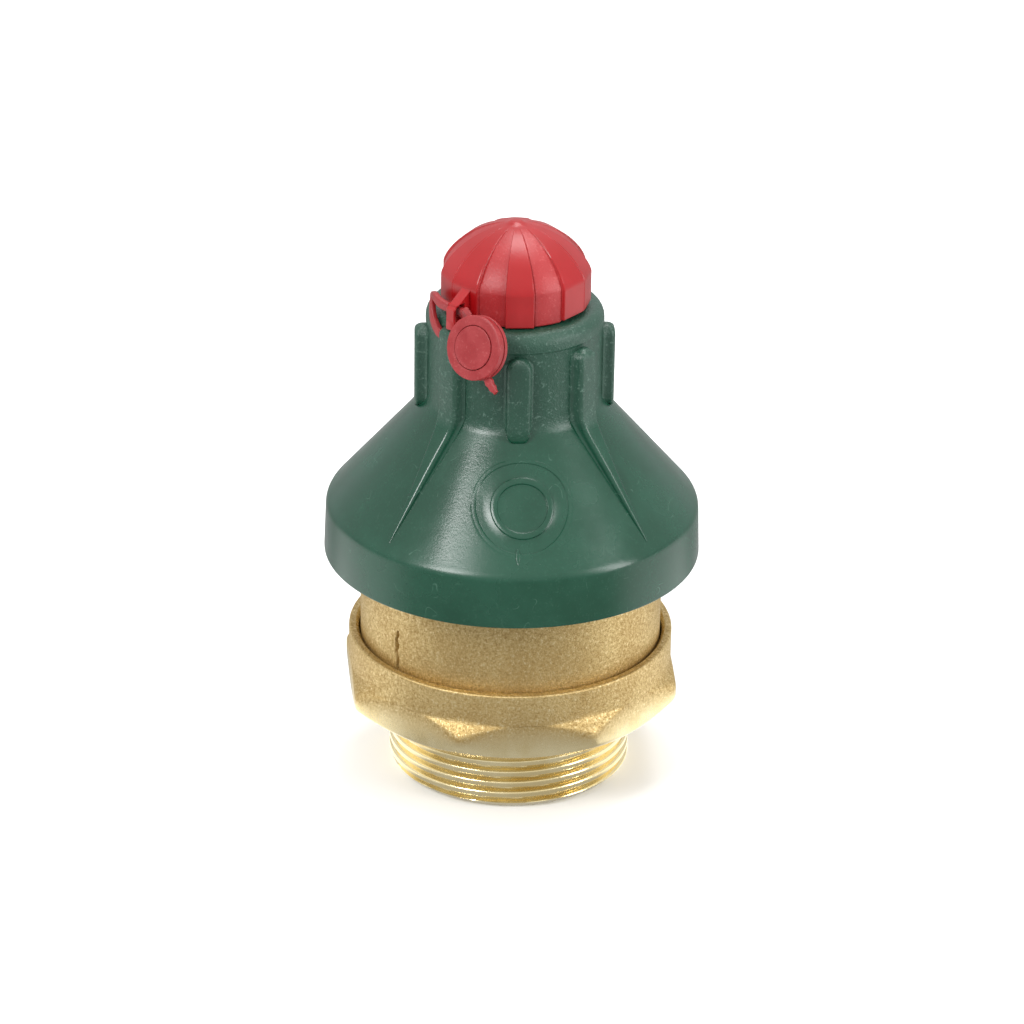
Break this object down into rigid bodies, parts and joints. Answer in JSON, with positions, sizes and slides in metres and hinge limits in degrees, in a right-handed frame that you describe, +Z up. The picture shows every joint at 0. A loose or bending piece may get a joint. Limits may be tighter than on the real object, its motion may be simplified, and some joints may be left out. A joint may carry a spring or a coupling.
{
  "type": "automatic air vent",
  "caption": "Spring-loaded air vent: brass threaded body and sleeve, plastic rain bell, sealed domed cap over the spring adjuster.",
  "frame": {"origin": "centre of the thread's end face, the lowest point of the vent", "axes": "+Z up along the vent's axis, from the thread to the cap; the front, with the tamper seal, faces -Y"},
  "size_m": [0.0734, 0.0734, 0.114],
  "materials": {
    "cast_brass": "cast, blasted",
    "turned_brass": "turned",
    "green_plastic": "moulded, glossy",
    "red_plastic": "moulded, satin",
    "red_seal": "moulded, matt",
    "steel": "turned",
    "black_rubber": "plain",
    "white_plastic": "plain"
  },
  "bodies": {
    "housing": {"valve_body": "cast_brass", "seat_ring": "turned_brass", "body_gasket": "black_rubber", "outlet_sleeve": "cast_brass", "stem_guide_bush": "white_plastic", "main_spring": "steel", "lock_nut": "turned_brass", "spring_tube": "turned_brass", "bell_hood": "green_plastic", "bell_washer": "black_rubber", "bell_nut": "turned_brass", "cap_o_ring": "black_rubber", "seal_strap": "red_seal"},
    "obturator": {"valve_disc": "turned_brass", "disc_seal": "black_rubber", "seal_retainer": "steel", "retainer_nut": "steel", "valve_stem": "steel", "stem_clip": "steel", "lower_spring_plate": "turned_brass"},
    "plate": {"upper_spring_plate": "turned_brass"},
    "screw": {"adjusting_screw": "turned_brass"},
    "cap": {"cap": "red_plastic"},
    "seal": {"seal_disc": "red_seal", "seal_insert": "red_seal", "seal_tail": "red_seal"}
  },
  "joints": [
    {"name": "disc_lift", "type": "slide", "parent": "housing", "child": "obturator", "axis": [0, 0, 1], "range_m": [0, 0.0084], "stiffness_N_per_m": 4000, "springref_m": -0.001, "deforming": ["main_spring"]},
    {"name": "plate_travel", "type": "slide", "parent": "housing", "child": "plate", "axis": [0, 0, 1], "range_m": [0, 0.001]},
    {"name": "screw_turn", "type": "hinge", "parent": "plate", "child": "screw", "pos_m": [0, 0, 0.0885], "axis": [0, 0, 1], "range_deg": [0, 360]},
    {"name": "cap_turn", "type": "hinge", "parent": "housing", "child": "cap", "pos_m": [0, 0, 0.0977], "axis": [0, 0, 1], "range_deg": [-3, 2]},
    {"name": "seal_swing", "type": "hinge", "parent": "housing", "child": "seal", "pos_m": [-0.00862, -0.0168, 0.10092], "axis": [-0.7986, 0.6018, 0], "range_deg": [0, 35]}
  ],
  "couplings": [
    {"joint": "screw_turn", "follows": "plate_travel", "rad_per_m": 6283.2}
  ]
}
